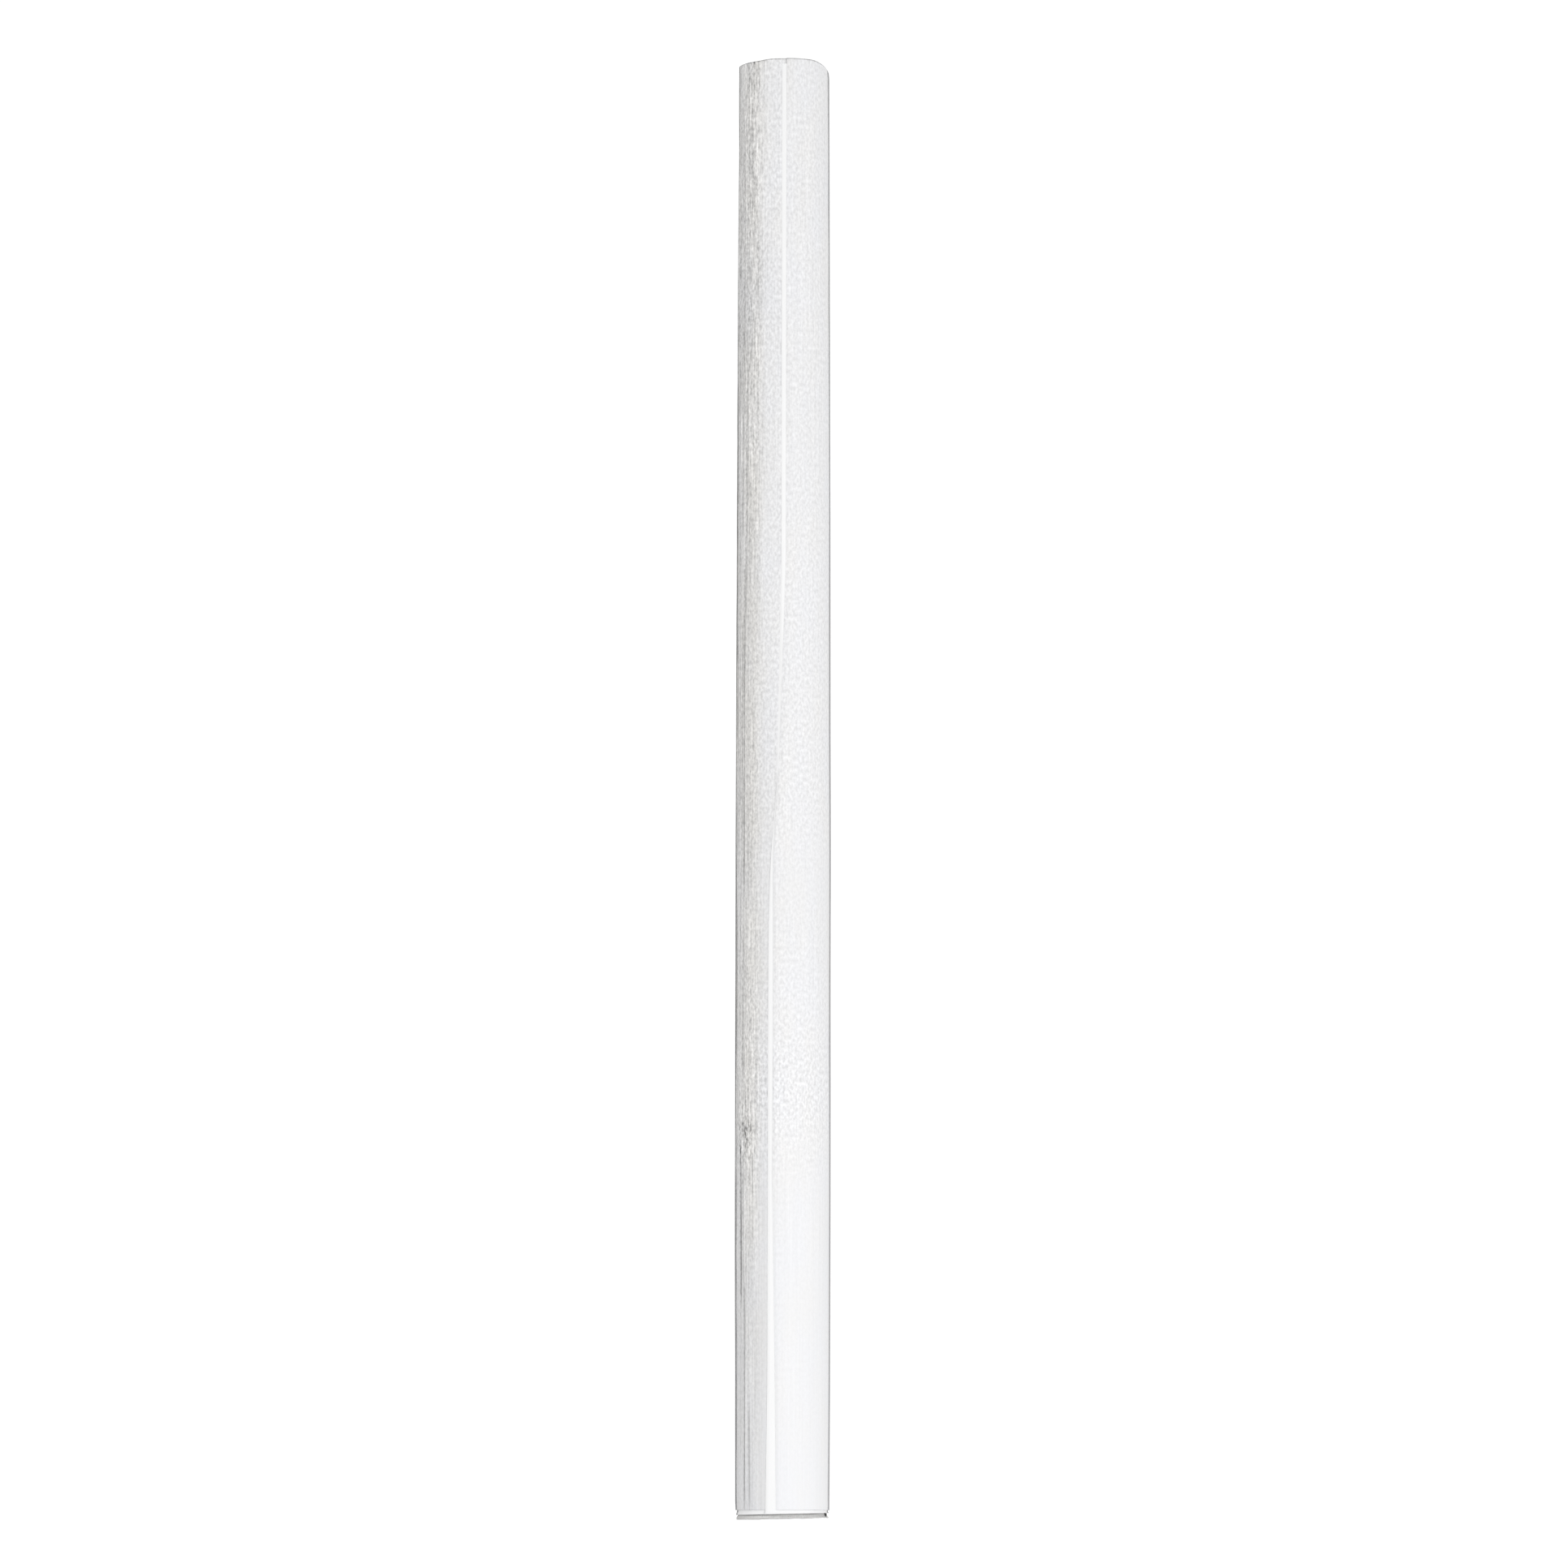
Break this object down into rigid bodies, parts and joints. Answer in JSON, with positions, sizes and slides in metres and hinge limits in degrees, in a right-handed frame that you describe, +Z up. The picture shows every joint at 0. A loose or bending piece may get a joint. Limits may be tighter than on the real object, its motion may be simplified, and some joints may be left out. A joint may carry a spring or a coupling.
{
  "type": "blending stump",
  "caption": "Straight, unpointed paper blending stump: a tight roll of soft paper sheets in a smooth white cover, for rubbing charcoal, pencil or pastel on paper.",
  "frame": {"origin": "centre of the foot, the lower end of the roll, on the plane it stands on", "axes": "+Z up along the roll's axis; -Y is the front, where the cover's free edge runs down the roll; +X to the right of the front"},
  "size_m": [0.0099, 0.0101, 0.1524],
  "materials": {
    "cover_paper": "smooth white paper, slight sheen",
    "liner_paper": "thin bright white paper, matt",
    "core_paper": "soft unsized felt paper, matt",
    "paste": "dried starch paste, matt"
  },
  "bodies": {
    "root": {"cover_wrap": "cover_paper", "liner_wrap": "liner_paper", "first_core_sheet": "core_paper", "second_core_sheet": "core_paper", "third_core_sheet": "core_paper", "fourth_core_sheet": "core_paper", "fifth_core_sheet": "core_paper", "cover_paste": "paste", "liner_paste": "paste", "first_core_paste": "paste", "second_core_paste": "paste", "third_core_paste": "paste", "fourth_core_paste": "paste", "fifth_core_paste": "paste"}
  },
  "joints": []
}
